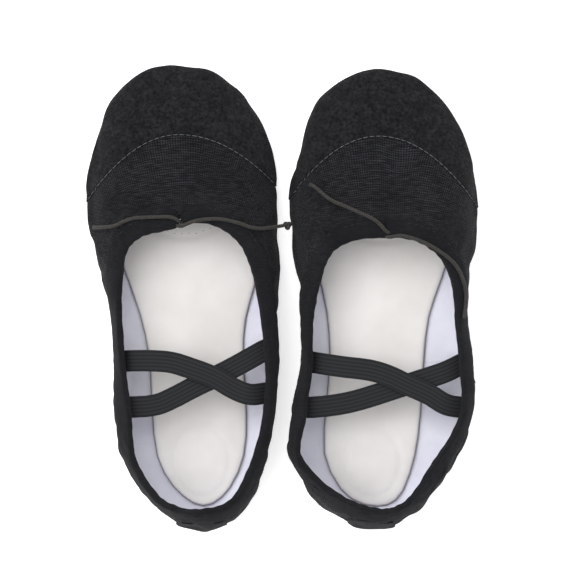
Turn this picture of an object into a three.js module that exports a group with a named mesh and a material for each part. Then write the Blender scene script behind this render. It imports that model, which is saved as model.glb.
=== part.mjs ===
// A pair of soft canvas ballet slippers, side by side on their soles, toes towards +Y.
//
// Each slipper is a cloth shell drawn in over the foot by a cord that runs in the folded binding of its
// topline. Two suede patches make a split sole, a padded insole lies inside, a cap covers the toes, and
// two elastics cross over the instep. Everything is in millimetres, with +Z up and the soles on z = 0.
//
// The wall of a slipper is worked out once, as rays that start at the sole seam, run out under the foot,
// round up to the widest point and lean in to the topline. Every cloth layer is an offset of that wall,
// so the layers keep their clearance wherever the outline bends.
import * as THREE from 'three';

// ---- Driving dimensions, in millimetres -----------------------------------------------------------

const slipperLength = 225;
const slipperWidth = 94;
const gapBetweenSlippers = 3.5;

const canvasThickness = 0.9;
const liningThickness = 0.6;
const toeCapThickness = 0.7;
const bindingThickness = 0.7;
const bindingOuterWidth = 8.6;
const bindingInnerWidth = 7.4;
const cordDiameter = 1.8;
const elasticWidth = 10.4;
const elasticThickness = 1.2;
const elasticTab = 7;
const elasticBelowBinding = 2.6;
const elasticBelowTopline = 5.5;
const patchThickness = 1.5;
const insoleThickness = 2.2;
const insoleMargin = 0.8;
const backStayWidth = 18;
const backStayThickness = 0.8;
const clearance = 0.3;
const capClearance = 0.75;
const throatGap = 7;

const heelHeight = 44;
const waistHeight = 30;
const throatHeight = 31;
const heelBulgeHeight = 19;
const ballBulgeHeight = 13;
const toeBulgeHeight = 10;
const turnUnder = 6;

// ---- Values that follow from them -----------------------------------------------------------------

// The outlines below are drawn for this size, and graded to the size asked for.
const drawnLength = 225;
const drawnWidth = 94;
const grade = new THREE.Vector3(slipperWidth / drawnWidth, slipperLength / drawnLength, 1);

const columns = 48;
const leastRow = 0.4;
const leastColumn = 0.02;
const profileSteps = 12;
const elasticSteps = 28;
const ovalPoints = 28;
const patchPoints = 32;
const cordSides = 8;
const leanAngle = THREE.MathUtils.degToRad(62);

// The sides stand up to the same share of their height at the waist, however high the waist is.
const waistBulgeHeight = 0.7 * waistHeight;

const canvasBottom = patchThickness + clearance;
const canvasTop = canvasBottom + canvasThickness;
const liningOffset = canvasThickness + clearance;
const liningInside = liningOffset + liningThickness;
const insoleBottom = canvasBottom + liningInside + clearance;

const cordRadius = cordDiameter / 2;
const channelDepth = bindingThickness / 2 + clearance + cordRadius;
const cordRoom = 0.4;
const clothEdge = channelDepth + cordRadius + clearance + cordRoom;
const cordOffset = -liningInside / 2;

// A tab is flat across and the lining is hollow, so the middle of the tab stands off the lining by the
// rise of the hollow over the width of the tab. The facets of the wall grow with the slipper.
const liningHollow = 18;
const tabClearance = (elasticWidth ** 2 / (8 * liningHollow)) * Math.max(1, grade.x) ** 2;

// ---- The two slippers -----------------------------------------------------------------------------

// Each outline has twenty stations: the middle of the heel first, then anticlockwise seen from above
// along the right side to the toe, which is station 10, and back along the left side. insole is the
// edge of the insole, widest the outermost line of the wall, and topline the edge of the opening.
const leftDesign = {
  insole: [
    [9, -102], [20, -96], [29.5, -78], [31, -54], [29.4, -31], [30.3, -10], [36, 10], [39.5, 42],
    [37.5, 64], [26, 90], [-3.5, 105], [-28, 91], [-38, 66], [-40.5, 44], [-32, 18], [-22.5, -8],
    [-18, -31], [-17, -54], [-14, -79], [-3.5, -95],
  ],
  widest: [
    [9.5, -111.3], [26.4, -104], [39.2, -79.5], [43.4, -53.7], [45.2, -31], [45.9, -10], [46.9, 12],
    [45.2, 43], [41.7, 67], [29.5, 97.5], [-3.5, 112.5], [-33.5, 98.5], [-43.7, 69], [-47.2, 46],
    [-42.5, 18], [-35.3, -6], [-33.2, -30], [-34.1, -54], [-28.6, -79.3], [-10.6, -102],
  ],
  topline: [
    [7.5, -102.2], [23.6, -97.7], [34, -78], [40, -54], [40.4, -33], [38.2, -12], [34.2, 10],
    [29.7, 22.5], [22, 31.3], [11, 36.5], [-2.4, 35.6], [-12, 32.5], [-21.2, 29.7], [-27.4, 24],
    [-30, 12], [-31.5, -8], [-30.2, -29], [-26.4, -54], [-24.2, -78], [-10.3, -98.5],
  ],
  capPeak: [-2.4, 78.9],
  capDropRight: 0.0112,
  capDropLeft: 0.0158,
  forefootPatch: [
    [-3.5, 100], [17, 92], [30, 70], [32.5, 48], [21, 33], [1, 28.5], [-19, 33], [-32.5, 48],
    [-31.5, 70], [-21, 92],
  ],
  heelPatch: { centre: [8.2, -79], radii: [15, 19] },
  elasticOver: {
    from: 16,
    to: 3.35,
    path: [[-16, -29.8], [-6, -30.6], [3, -33.4], [14.9, -37.9], [24, -43.3], [32, -46.2]],
  },
  elasticUnder: {
    from: 16.93,
    to: 4.35,
    path: [[-14, -51.3], [-5.6, -47.9], [5.5, -42.1], [13, -38.6], [20, -35.1], [29.5, -30]],
  },
};

const rightDesign = {
  insole: [
    [-2.5, -102], [8, -98], [16.2, -78], [19.4, -54], [20.6, -31], [23, -9], [30, 11], [39, 41],
    [37, 66], [25, 89], [-3, 104.5], [-25.5, 90], [-36, 65], [-39, 43], [-34, 18], [-28.2, -6],
    [-26.8, -31], [-29, -55], [-29.6, -77], [-18, -97],
  ],
  widest: [
    [-7, -111.2], [14.5, -103.8], [34.6, -79.5], [43, -54], [42.9, -29], [40.3, -9], [43, 12],
    [45.8, 42], [42.3, 68], [28.5, 96.3], [-3, 111.8], [-31, 97.5], [-40.7, 68], [-45.7, 45],
    [-42.9, 19], [-40.4, -6], [-39, -30], [-44.4, -55], [-44.9, -77], [-25, -102.8],
  ],
  topline: [
    [-1, -102], [11, -98.5], [23.6, -80], [38, -56.5], [37.6, -33], [36, -12], [33.7, 6.5],
    [27.5, 19.6], [19.6, 26.3], [11, 29.2], [1.5, 29.8], [-10.5, 28.9], [-21.8, 25.2],
    [-27.4, 18.2], [-32, 5], [-35.4, -12], [-35.8, -32], [-38.3, -55], [-41, -77], [-20, -96],
  ],
  capPeak: [-2.4, 78.2],
  capDropRight: 0.0146,
  capDropLeft: 0.0162,
  forefootPatch: [
    [-3, 99], [16, 91], [29.5, 69], [32, 47], [21, 32], [0, 26.5], [-20, 32], [-32, 47], [-30.5, 69],
    [-20.5, 91],
  ],
  heelPatch: { centre: [-5.2, -79], radii: [15, 19] },
  elasticOver: {
    from: 16,
    to: 3.05,
    path: [[-20, -32.7], [-6.3, -34.4], [2.3, -37], [11.4, -41.3], [22.5, -46.3], [30, -51]],
  },
  elasticUnder: {
    from: 16.87,
    to: 3.95,
    path: [[-25, -51.4], [-14.3, -49.4], [-1.7, -45.6], [11.4, -41.3], [23.9, -37.3], [30.5, -35]],
  },
};

// ---- The wall of a slipper ------------------------------------------------------------------------

function graded([x, y]) {
  return new THREE.Vector3(x, y, 0).multiply(grade);
}

function closedOutline(stations) {
  return new THREE.CatmullRomCurve3(stations.map(graded), true, 'centripetal');
}

// A value along the outline, from what it is at the heel, the waist, the ball and the toe. It runs
// smoothly from one to the next, and is the same on both sides.
function alongSlipper(turn, [heel, waist, ball, toe]) {
  const station = 20 * Math.min(turn, 1 - turn);
  const knots = [[0, heel], [4, waist], [7, ball], [10, toe]];
  const next = Math.max(1, knots.findIndex(([at]) => station <= at));
  const [[from, a], [to, b]] = [knots[next - 1], knots[next]];
  return THREE.MathUtils.lerp(a, b, THREE.MathUtils.smoothstep(station, from, to));
}

// The points of one ray, from the sole seam to the topline.
function rayPoints(turn, outlines) {
  const foot = outlines.insole.getPoint(turn);
  const side = outlines.widest.getPoint(turn);
  const top = outlines.topline.getPoint(turn);
  foot.z = canvasBottom;
  side.z = alongSlipper(turn, [heelBulgeHeight, waistBulgeHeight, ballBulgeHeight, toeBulgeHeight]);
  top.z = alongSlipper(turn, [heelHeight, waistHeight, throatHeight, throatHeight]);

  const outward = new THREE.Vector3(side.x - foot.x, side.y - foot.y, 0);
  const reach = outward.length();
  outward.normalize();
  const seam = foot.clone().addScaledVector(outward, -turnUnder);
  const lower = new THREE.CubicBezierCurve3(
    foot,
    foot.clone().addScaledVector(outward, reach * 0.35),
    new THREE.Vector3(side.x, side.y, THREE.MathUtils.lerp(side.z, foot.z, 0.5)),
    side,
  );
  const underFoot = foot.clone().addScaledVector(outward, -turnUnder / 2);
  const points = [seam, underFoot, ...lower.getPoints(profileSteps)];
  for (let step = 1; step <= profileSteps; step += 1) {
    const angle = (leanAngle * step) / profileSteps;
    const inwards = (1 - Math.cos(angle)) / (1 - Math.cos(leanAngle));
    const upwards = Math.sin(angle) / Math.sin(leanAngle);
    points.push(new THREE.Vector3(
      THREE.MathUtils.lerp(side.x, top.x, inwards),
      THREE.MathUtils.lerp(side.y, top.y, inwards),
      THREE.MathUtils.lerp(side.z, top.z, upwards),
    ));
  }
  return points;
}

class Ray {
  constructor(points) {
    this.points = points;
    this.along = [0];
    points.slice(1).forEach((point, i) => this.along.push(this.along[i] + point.distanceTo(points[i])));
    this.length = this.along.at(-1);
    this.rows = rowDistances(this.along[2 + profileSteps], this.length);
  }

  at(distance) {
    const next = Math.max(1, this.along.findIndex((a) => a >= distance - 1e-9));
    const share = (distance - this.along[next - 1]) / (this.along[next] - this.along[next - 1]);
    return this.points[next - 1].clone().lerp(this.points[next], share);
  }
}

// Where the rows of the wall lie, from the sole seam to the topline. There is a row at the foot, at
// the widest point, and at each line that the binding follows.
function rowDistances(widest, length) {
  const bindingStart = length - bindingOuterWidth;
  const bulge = Math.min(widest, bindingStart - 1);
  const between = (from, to, steps) => Array.from(
    { length: steps },
    (_, i) => THREE.MathUtils.lerp(from, to, i / steps),
  );
  return [
    0,
    ...between(turnUnder, bulge, 3),
    ...between(bulge, bindingStart, 3),
    bindingStart,
    length - (bindingOuterWidth + clothEdge) / 2,
    length - clothEdge,
    length,
  ];
}

// The wall as a grid of columns and rows. Between them it is flat, so that every cloth layer bends
// at the same lines and keeps its distance from the next.
class Wall {
  constructor(design) {
    const outlines = {
      insole: closedOutline(design.insole),
      widest: closedOutline(design.widest),
      topline: closedOutline(design.topline),
    };
    this.rays = Array.from({ length: columns }, (_, c) => new Ray(rayPoints(c / columns, outlines)));
    this.grid = this.rays.map((ray) => ray.rows.map((distance) => ray.at(distance)));
    this.normals = this.grid.map((points, c) => points.map((_, r) => this.normal(c, r)));
  }

  column(c) {
    return ((c % columns) + columns) % columns;
  }

  normal(c, r) {
    const points = this.grid[c];
    const around = this.grid[this.column(c + 1)][r].clone().sub(this.grid[this.column(c - 1)][r]);
    const up = points[Math.min(points.length - 1, r + 1)].clone().sub(points[Math.max(0, r - 1)]);
    return around.cross(up).normalize();
  }

  vertex(c, r, offset) {
    const column = this.column(c);
    return this.grid[column][r].clone().addScaledVector(this.normals[column][r], offset);
  }

  // The distances of the rows at a column, which need not be a whole number.
  rows(column) {
    const whole = Math.floor(column);
    const [here, there] = [this.rays[this.column(whole)], this.rays[this.column(whole + 1)]];
    return here.rows.map((distance, r) => THREE.MathUtils.lerp(distance, there.rows[r], column - whole));
  }

  length(column) {
    return this.rows(column).at(-1);
  }

  // A point on the wall: distance is measured up from the sole seam, and offset outwards from the
  // outer face of the canvas.
  skin(column, distance, offset) {
    const whole = Math.floor(column);
    const rows = this.rows(column);
    const next = Math.max(1, rows.findIndex((d) => d >= distance - 1e-9));
    const share = (distance - rows[next - 1]) / (rows[next] - rows[next - 1]);
    const at = (c) => this.vertex(c, next - 1, offset).lerp(this.vertex(c, next, offset), share);
    return at(whole).lerp(at(whole + 1), column - whole);
  }

  // The same, with the distance measured down from the topline.
  fromTop(column, down, offset) {
    return this.skin(column, this.length(column) - down, offset);
  }

  // The direction along the wall at a column, anticlockwise.
  around(column, distance) {
    const reach = 0.5;
    return this.skin(column + reach, distance, 0).sub(this.skin(column - reach, distance, 0)).normalize();
  }
}

// ---- Solids ---------------------------------------------------------------------------------------

// A closed solid through a row of sections. Each section is two lists of as many points, the outer
// and the inner face of a strip, and seen along the row the outer face lies to the right of the way
// that the lists run.
function loft(sections, closed = false) {
  const rows = sections[0].outer.length;
  const positions = sections.flatMap(({ outer, inner }) => [...outer, ...inner]).flatMap((p) => p.toArray());
  const outer = (i, j) => (i % sections.length) * 2 * rows + j;
  const inner = (i, j) => outer(i, j) + rows;
  const triangles = [];
  const quad = (a, b, c, d) => triangles.push(a, b, c, a, c, d);
  const spans = closed ? sections.length : sections.length - 1;
  for (let i = 0; i < spans; i += 1) {
    for (let j = 0; j < rows - 1; j += 1) {
      quad(outer(i, j), outer(i + 1, j), outer(i + 1, j + 1), outer(i, j + 1));
      quad(inner(i, j), inner(i, j + 1), inner(i + 1, j + 1), inner(i + 1, j));
    }
    quad(outer(i, 0), inner(i, 0), inner(i + 1, 0), outer(i + 1, 0));
    quad(outer(i, rows - 1), outer(i + 1, rows - 1), inner(i + 1, rows - 1), inner(i, rows - 1));
  }
  if (!closed) {
    const last = sections.length - 1;
    for (let j = 0; j < rows - 1; j += 1) {
      quad(outer(0, j), outer(0, j + 1), inner(0, j + 1), inner(0, j));
      quad(outer(last, j), inner(last, j), inner(last, j + 1), outer(last, j + 1));
    }
  }
  const geometry = new THREE.BufferGeometry();
  geometry.setAttribute('position', new THREE.Float32BufferAttribute(positions, 3));
  geometry.setIndex(triangles);
  geometry.computeVertexNormals();
  return geometry;
}

// A cloth layer on the wall between two offsets, over a list of columns. span gives the lowest and
// highest distance at a column. The rows of the wall that lie outside the span are gathered inside it.
function layer(wall, cols, span, outside, inside) {
  return loft(cols.map((column) => {
    const [low, high] = span(column);
    const rows = wall.rows(column).slice(0, -1);
    const distances = rows.map((distance, r) => {
      const fromEnd = rows.length - 1 - r;
      return THREE.MathUtils.clamp(distance, low + r * leastRow, high - fromEnd * leastRow);
    });
    return {
      outer: distances.map((d) => wall.skin(column, d, outside)),
      inner: distances.map((d) => wall.skin(column, d, inside)),
    };
  }));
}

// Whole columns between two ends that may be fractions of one.
function columnsBetween(from, to) {
  const whole = [];
  for (let column = Math.floor(from) + 1; column < to; column += 1) {
    whole.push(column);
  }
  return [from, ...whole.filter((c) => c - from > leastColumn && to - c > leastColumn), to];
}

function plate(outline, bottom, thickness) {
  const shape = new THREE.Shape(outline.map((p) => new THREE.Vector2(p.x, p.y)));
  const geometry = new THREE.ExtrudeGeometry(shape, { depth: thickness, bevelEnabled: false });
  return geometry.translate(0, 0, bottom);
}

// The outline at the foot of the wall, moved outwards by a distance in plan.
function footOutline(wall, distance, outwards) {
  return wall.rays.map((_, column) => {
    const point = wall.skin(column, distance, 0);
    const along = wall.around(column, distance);
    return new THREE.Vector3(point.x + along.y * outwards, point.y - along.x * outwards, 0);
  });
}

function circleShape(radius, sides) {
  const corners = Array.from({ length: sides }, (_, i) => {
    const angle = (2 * Math.PI * i) / sides;
    return new THREE.Vector2(radius * Math.cos(angle), radius * Math.sin(angle));
  });
  return new THREE.Shape(corners);
}

// ---- Materials ------------------------------------------------------------------------------------

const materials = {
  canvas: new THREE.MeshStandardMaterial({ color: 0x2b2c2e, roughness: 0.95, metalness: 0 }),
  toeCloth: new THREE.MeshStandardMaterial({ color: 0x262628, roughness: 0.98, metalness: 0 }),
  binding: new THREE.MeshStandardMaterial({ color: 0x2c2e31, roughness: 0.95, metalness: 0 }),
  cord: new THREE.MeshStandardMaterial({ color: 0x3a3a3a, roughness: 0.7, metalness: 0 }),
  elastic: new THREE.MeshStandardMaterial({ color: 0x242828, roughness: 0.8, metalness: 0 }),
  suede: new THREE.MeshStandardMaterial({ color: 0x232222, roughness: 1, metalness: 0 }),
  lining: new THREE.MeshStandardMaterial({ color: 0xdcdce6, roughness: 0.95, metalness: 0 }),
  insole: new THREE.MeshStandardMaterial({ color: 0xe9e6e3, roughness: 0.9, metalness: 0 }),
};

// ---- The parts of a slipper -----------------------------------------------------------------------

const sideSeams = { right: 4 * (columns / 20), left: 16 * (columns / 20) };
const toeColumn = columns / 2;

function seamGap(wall, column) {
  const spacing = wall.skin(column, 0, 0).distanceTo(wall.skin(column + 1, 0, 0));
  return clearance / Math.max(spacing, clearance * 2);
}

function clothSpan(wall) {
  return (column) => [0, wall.length(column) - clothEdge];
}

// The upper is cut as a vamp and two quarters, sewn at the sides and up the back. The lining is cut
// the same way, but with one piece round the heel.
function upperParts(wall) {
  const { right, left } = sideSeams;
  const gap = seamGap(wall, Math.round(right)) / 2;
  const vamp = columnsBetween(right + gap, left - gap);
  const rightQuarter = columnsBetween(gap, right - gap);
  const leftQuarter = columnsBetween(left + gap, columns - gap);
  const heel = columnsBetween(left + gap, columns + right - gap);
  const span = clothSpan(wall);
  const canvas = (cols) => layer(wall, cols, span, 0, -canvasThickness);
  const lining = (cols) => layer(wall, cols, span, -liningOffset, -liningInside);
  return [
    ['vamp', canvas(vamp), materials.canvas],
    ['quarter_right', canvas(rightQuarter), materials.canvas],
    ['quarter_left', canvas(leftQuarter), materials.canvas],
    ['vamp_lining', lining(vamp), materials.lining],
    ['heel_lining', lining(heel), materials.lining],
  ];
}

// The cap lies on the vamp in front of an arched edge. It starts outside the forefoot patch.
function toeCap(wall, design) {
  const capStart = turnUnder - clearance;
  const capShortest = capStart + 6;
  const distanceStep = 0.25;
  const columnStep = 0.1;
  const peak = graded(design.capPeak);
  const inCap = (point) => {
    const across = point.x - peak.x;
    const drop = across > 0 ? design.capDropRight : design.capDropLeft;
    return point.y > peak.y - drop * across * across;
  };
  const capEdge = (column) => {
    let distance = capStart;
    while (inCap(wall.skin(column, distance, 0))) {
      distance += distanceStep;
    }
    return distance;
  };
  let from = toeColumn;
  while (capEdge(from) > capShortest) {
    from -= columnStep;
  }
  let to = toeColumn;
  while (capEdge(to) > capShortest) {
    to += columnStep;
  }
  const cols = columnsBetween(from + columnStep, to - columnStep);
  const outside = capClearance + toeCapThickness;
  return layer(wall, cols, (column) => [capStart, capEdge(column)], outside, capClearance);
}

// The binding is folded over the edge of the cloth, as a U whose fold holds the cord. It starts and
// ends at the middle of the throat, where the two ends of the cord come out.
function bindingSection(wall, column) {
  const outerFace = clearance + bindingThickness;
  const innerFace = -liningInside - clearance - bindingThickness;
  const middle = (bindingOuterWidth + clothEdge) / 2;
  const shoulder = bindingThickness * 2;
  const cordEnd = clothEdge - clearance;
  const round = 0.9;
  const tuck = 0.3;
  const point = ([down, offset]) => wall.fromTop(column, down, offset);
  return {
    outer: [
      [bindingOuterWidth, outerFace], [middle, outerFace], [shoulder, outerFace], [0, outerFace - round],
      [0, innerFace + round], [shoulder, innerFace], [middle, innerFace], [bindingInnerWidth, innerFace],
    ].map(point),
    inner: [
      [bindingOuterWidth, clearance], [middle, clearance], [cordEnd, clearance],
      [bindingThickness, clearance - tuck], [bindingThickness, -liningInside - clearance + tuck],
      [cordEnd, -liningInside - clearance], [middle, -liningInside - clearance],
      [bindingInnerWidth, -liningInside - clearance],
    ].map(point),
  };
}

function throatColumns(wall, trim) {
  const spacing = wall.fromTop(toeColumn, 0, 0).distanceTo(wall.fromTop(toeColumn + 1, 0, 0));
  const half = (throatGap / 2 + trim) / spacing;
  return columnsBetween(toeColumn + half, toeColumn + columns - half);
}

function binding(wall) {
  return loft(throatColumns(wall, 0).map((column) => bindingSection(wall, column)));
}

// The cord inside the binding, from one end of the throat gap round the heel to the other.
function cordInBinding(wall) {
  const angles = [0.5, 1.5, 2.5, 3.5].map((eighth) => (eighth * Math.PI) / 4);
  return loft(throatColumns(wall, clearance).map((column) => {
    const corner = (angle) => wall.fromTop(
      column,
      channelDepth + bindingThickness / 2 + cordRadius * Math.cos(angle),
      cordOffset + cordRadius * Math.sin(angle),
    );
    return { outer: angles.map(corner), inner: angles.map((a) => corner(-a)) };
  }));
}

// A flat elastic sewn inside the wall under the binding at both ends, with a tab that lies on the
// lining. height is that of its middle line over the foot.
function elastic(wall, route, height) {
  const offset = -liningInside - tabClearance - elasticThickness / 2;
  const leave = bindingInnerWidth + elasticBelowBinding;
  const tabAt = (station) => {
    const column = (station * columns) / 20;
    return [leave + elasticTab, leave + elasticTab / 2, leave].map((down) => ({
      point: wall.fromTop(column, down, down === leave ? offset - elasticThickness : offset),
      along: wall.around(column, wall.length(column) - down),
    }));
  };
  const span = route.path.map((p) => graded(p).setZ(height));
  const start = tabAt(route.from);
  const end = tabAt(route.to).reverse();
  const curve = new THREE.CatmullRomCurve3(
    [...start.map((t) => t.point), ...span, ...end.map((t) => t.point)],
    false,
    'centripetal',
  );
  const up = new THREE.Vector3(0, 0, 1);
  const chord = span.at(-1).clone().sub(span[0]);
  const across = up.clone().cross(chord).normalize();
  const signed = (v) => (v.dot(across) < 0 ? v.negate() : v);
  const tabShare = 2 / (start.length + span.length + end.length - 1);
  return loft(Array.from({ length: elasticSteps + 1 }, (_, i) => {
    const t = i / elasticSteps;
    const point = curve.getPoint(t);
    const tangent = curve.getTangent(t);
    const inSpan = signed(up.clone().cross(tangent).normalize());
    const nearest = t < 0.5 ? start[2].along : end[0].along;
    const share = THREE.MathUtils.smoothstep(Math.min(t, 1 - t), tabShare, tabShare * 2);
    const sideways = signed(nearest.clone()).lerp(inSpan, share);
    sideways.addScaledVector(tangent, -sideways.dot(tangent)).normalize();
    const face = tangent.clone().cross(sideways).normalize();
    const corner = (w, n) => point.clone()
      .addScaledVector(sideways, (w * elasticWidth) / 2)
      .addScaledVector(face, (n * elasticThickness) / 2);
    return { outer: [corner(-1, 1), corner(1, 1)], inner: [corner(-1, -1), corner(1, -1)] };
  }));
}

// A strip over the back seam, from above the sole to under the binding.
function backStay(wall) {
  const spacing = wall.skin(0, turnUnder * 2, 0).distanceTo(wall.skin(1, turnUnder * 2, 0));
  const half = backStayWidth / 2 / spacing;
  const span = (column) => [turnUnder + 1, wall.length(column) - bindingOuterWidth - clearance];
  return layer(wall, columnsBetween(-half, half), span, clearance + backStayThickness, clearance);
}

function ellipseOutline({ centre, radii }) {
  const middle = graded(centre);
  const curve = new THREE.EllipseCurve(middle.x, middle.y, radii[0] * grade.x, radii[1] * grade.y);
  return curve.getPoints(ovalPoints).slice(0, -1);
}

function slipperParts(side, design, wall) {
  const elasticHeight = waistHeight - elasticBelowTopline;
  const elasticStep = elasticThickness + 2 * clearance;
  const soleEdge = footOutline(wall, 0, -clearance);
  const insoleEdge = footOutline(wall, turnUnder, -insoleMargin);
  const forefoot = closedOutline(design.forefootPatch).getPoints(patchPoints).slice(0, -1);
  const parts = [
    ['forefoot_patch', plate(forefoot, 0, patchThickness), materials.suede],
    ['heel_patch', plate(ellipseOutline(design.heelPatch), 0, patchThickness), materials.suede],
    ['sole_panel', plate(soleEdge, canvasBottom, canvasTop - canvasBottom), materials.canvas],
    ['insole', plate(insoleEdge, insoleBottom, insoleThickness), materials.insole],
    ...upperParts(wall),
    ['toe_cap', toeCap(wall, design), materials.toeCloth],
    ['binding', binding(wall), materials.binding],
    ['drawstring', cordInBinding(wall), materials.cord],
    ['back_stay', backStay(wall), materials.binding],
    ['elastic_under', elastic(wall, design.elasticUnder, elasticHeight), materials.elastic],
    ['elastic_over', elastic(wall, design.elasticOver, elasticHeight + elasticStep), materials.elastic],
  ];
  return parts.map(([name, geometry, material]) => {
    const mesh = new THREE.Mesh(geometry, material);
    mesh.name = `${side}_${name}`;
    return mesh;
  });
}

// ---- The free ends of the drawstrings -------------------------------------------------------------

// The ends cross in the throat gap, and each lies over the binding and the vamp. The routes are those
// of the cord's middle, from the gap outwards, in the frame of the pair.
const cordEnds = {
  left_drawstring_end_1: [
    [-48, 36.6, 30.2], [-49.6, 36.7, 31.3], [-51.5, 38, 32.4], [-54, 38.9, 32.9], [-60.3, 39, 32.8],
    [-66.2, 38.8, 32.4], [-71.9, 38.4, 31.5], [-77.3, 36.6, 30.3], [-80.6, 35, 29.7],
    [-84.4, 34.2, 28.3], [-88.6, 34, 25.7], [-91.5, 34, 22.6],
  ],
  left_drawstring_end_2: [
    [-52.4, 36.1, 30.2], [-50.8, 34.9, 31.1], [-48.9, 34.6, 32.1], [-46.4, 35.6, 33], [-42.5, 37, 33.1],
    [-35.3, 38, 32.9], [-29.5, 37.9, 32.7], [-24.8, 37, 32.5], [-20.2, 35.7, 32], [-15.6, 34.1, 30.6],
    [-11.5, 33.5, 28.6], [-7.1, 33.8, 25.7], [-2.8, 34.5, 22.3], [0.2, 35, 20.5],
  ],
  right_drawstring_end_1: [
    [52.4, 31.1, 30.2], [50.8, 31.5, 31.3], [49, 32.9, 32.4], [47, 35.2, 33], [44.2, 37.6, 32.8],
    [37.2, 41, 31.4], [30.3, 44.1, 30.5], [23.3, 47.2, 29.3], [18.7, 50.7, 27.6], [15.6, 53.4, 26.1],
    [12.9, 54.9, 24.6],
  ],
  right_drawstring_end_2: [
    [48, 30.7, 30.2], [49.6, 29.7, 31.1], [51.5, 29.3, 32.1], [53.8, 29.7, 33.1], [56.2, 30, 33.2],
    [62, 28.9, 33], [67.3, 27, 32.9], [71.9, 24.7, 33], [75.8, 22.2, 33], [80.5, 18.6, 32.3],
    [84.3, 14.2, 31.2], [86.6, 9.2, 30.2], [87.9, 4.7, 29.4], [88.2, -2.5, 28.9], [87.2, -9.8, 30.4],
  ],
};

const knotCentre = [2.2, 35.1, 19.4];
const knotRadius = 1.5;

function cordEnd(route) {
  const path = new THREE.CatmullRomCurve3(route.map((p) => new THREE.Vector3(...p)), false, 'centripetal');
  const steps = Math.ceil(path.getLength() / (2 * cordDiameter));
  return new THREE.ExtrudeGeometry(circleShape(cordRadius, cordSides), { extrudePath: path, steps });
}

function knot() {
  return new THREE.SphereGeometry(knotRadius, 10, 7).translate(...knotCentre);
}

// ---- The pair -------------------------------------------------------------------------------------

const pair = new THREE.Group();
for (const [side, design, direction] of [['left', leftDesign, -1], ['right', rightDesign, 1]]) {
  const slipper = new THREE.Group();
  slipper.add(...slipperParts(side, design, new Wall(design)));
  const box = new THREE.Box3().setFromObject(slipper);
  const edge = direction < 0 ? box.max.x : -box.min.x;
  slipper.position.x = direction * (gapBetweenSlippers / 2 + edge);
  pair.add(slipper);
}

// The origin is at the middle of the pair's box, on the floor. The free ends of the cord don't count.
const middle = new THREE.Box3().setFromObject(pair).getCenter(new THREE.Vector3());
pair.children.forEach((slipper) => slipper.position.sub(middle.setZ(0)));

for (const [name, route] of Object.entries(cordEnds)) {
  const mesh = new THREE.Mesh(cordEnd(route), materials.cord);
  mesh.name = name;
  pair.add(mesh);
}
const knotMesh = new THREE.Mesh(knot(), materials.cord);
knotMesh.name = 'left_drawstring_knot';
pair.add(knotMesh);

export default pair;
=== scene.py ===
# %% [markdown]
# # A pair of canvas ballet slippers
# Soft ballet slippers are sewn from flat cloth: a canvas upper with a white lining, a folded tape round
# the top with a cord in it, a cap over the toes, two crossed elastics, and a sole of two suede patches.
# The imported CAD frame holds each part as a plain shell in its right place. Each cell below takes one
# part, keeps its place and size, and turns it into cloth: curved, gathered, stitched and woven.

# %% Load the frame
import math

import bmesh
import bpy
import numpy as np
from mathutils import Matrix, Vector, noise
from mathutils.bvhtree import BVHTree
from mathutils.geometry import interpolate_bezier
from mathutils.kdtree import KDTree


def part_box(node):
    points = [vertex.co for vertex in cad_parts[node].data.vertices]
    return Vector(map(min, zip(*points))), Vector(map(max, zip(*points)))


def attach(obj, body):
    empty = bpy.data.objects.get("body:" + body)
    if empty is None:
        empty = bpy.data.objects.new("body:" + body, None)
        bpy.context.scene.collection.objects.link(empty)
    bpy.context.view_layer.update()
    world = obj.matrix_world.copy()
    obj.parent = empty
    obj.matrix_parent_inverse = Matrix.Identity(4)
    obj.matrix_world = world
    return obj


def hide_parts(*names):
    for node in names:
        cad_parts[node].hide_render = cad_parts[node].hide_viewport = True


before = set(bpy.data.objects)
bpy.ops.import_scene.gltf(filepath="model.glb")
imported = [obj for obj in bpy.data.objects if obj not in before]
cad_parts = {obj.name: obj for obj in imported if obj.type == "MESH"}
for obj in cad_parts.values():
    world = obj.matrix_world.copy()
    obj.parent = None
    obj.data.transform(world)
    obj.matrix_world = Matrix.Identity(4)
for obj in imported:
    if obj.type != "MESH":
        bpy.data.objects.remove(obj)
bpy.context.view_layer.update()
MM = 0.001
SIDES = ("left", "right")

# %% [markdown]
# ## Camera
# The slippers are seen from straight above, toes up. A long lens far away keeps the sides from
# spreading, so that an outline in the picture is the outline of the slipper.

# %% Camera
VIEW_WIDTH = 0.2807
VIEW_CENTRE = Vector((0.0034, 0.00383, 0.018))
CAMERA_DISTANCE = 3.0

camera_data = bpy.data.cameras.new("camera")
camera_data.lens = camera_data.sensor_width * CAMERA_DISTANCE / VIEW_WIDTH
camera_data.clip_end = 20
camera = bpy.data.objects.new("camera", camera_data)
camera.location = VIEW_CENTRE + Vector((0, 0, CAMERA_DISTANCE))
bpy.context.scene.collection.objects.link(camera)
bpy.context.scene.camera = camera
print("lens in mm:", round(camera_data.lens))
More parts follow.
